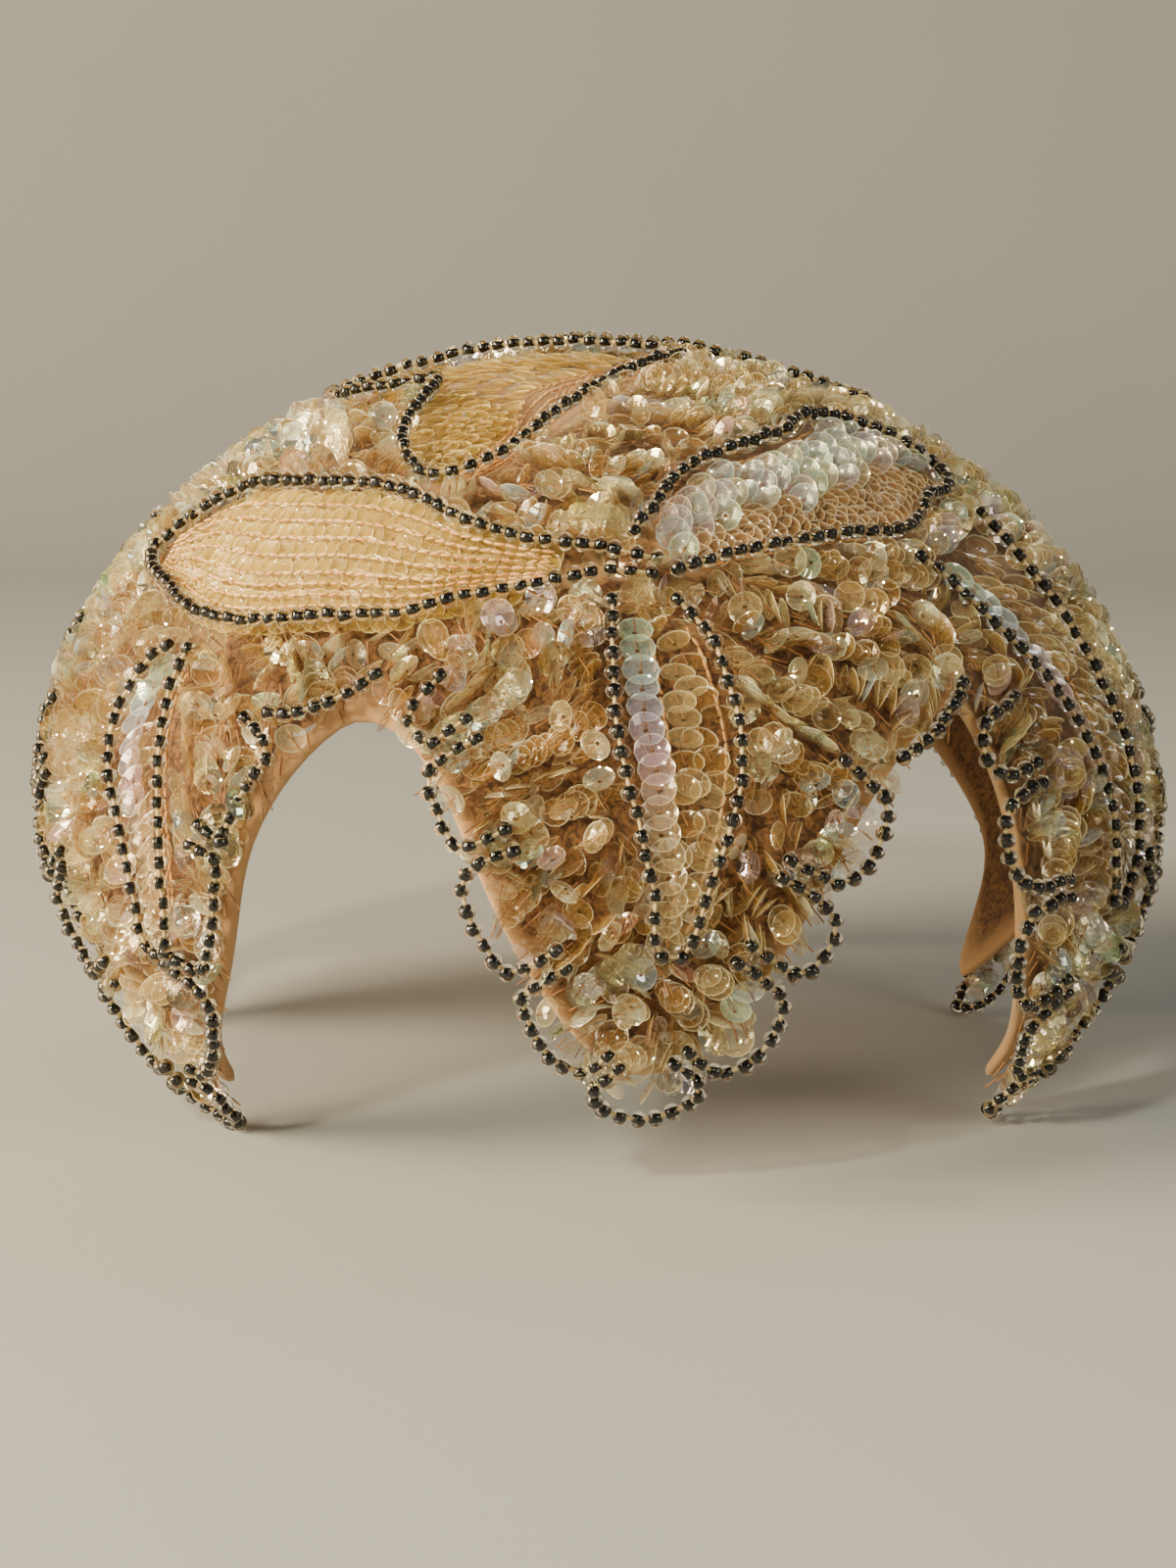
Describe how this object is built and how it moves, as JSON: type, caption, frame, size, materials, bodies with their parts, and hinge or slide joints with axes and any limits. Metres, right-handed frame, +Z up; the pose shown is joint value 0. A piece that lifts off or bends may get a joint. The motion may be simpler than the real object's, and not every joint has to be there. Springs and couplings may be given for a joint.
{
  "type": "sequin half hat",
  "caption": "Small domed evening cap of felt, sewn over with sequins and outlined petals of glass seed beads, with pointed lobes and arches round its edge.",
  "frame": {"origin": "centre of the hat's box on the surface that its four long lobe tips rest on", "axes": "+Z up through the crown, -Y towards the front lobe, +X towards the wearer's left"},
  "size_m": [0.1778, 0.1798, 0.1149],
  "materials": {
    "felt": "matte pressed wool felt",
    "sequins": "clear champagne cup sequins with an iridescent film",
    "beads": "clear glass seed beads with a black lining"
  },
  "bodies": {
    "root": {"felt_cap": "felt", "sequin_cover": "sequins", "left_petal_string": "beads", "back_right_petal_string": "beads", "right_petal_string": "beads", "back_left_petal_string": "beads", "left_crown_petal_string": "beads", "right_crown_petal_string": "beads", "left_leaf_string": "beads", "back_right_leaf_string": "beads", "front_leaf_string": "beads", "back_leaf_string": "beads", "right_leaf_string": "beads", "back_left_leaf_string": "beads", "left_edge_string": "beads", "front_edge_string": "beads", "right_edge_string": "beads", "back_right_edge_string": "beads", "back_edge_string": "beads", "back_left_edge_string": "beads", "left_front_bridge_string": "beads", "front_right_bridge_string": "beads", "right_back_right_bridge_string": "beads", "back_right_back_bridge_string": "beads", "back_back_left_bridge_string": "beads", "back_left_left_bridge_string": "beads"}
  },
  "joints": []
}
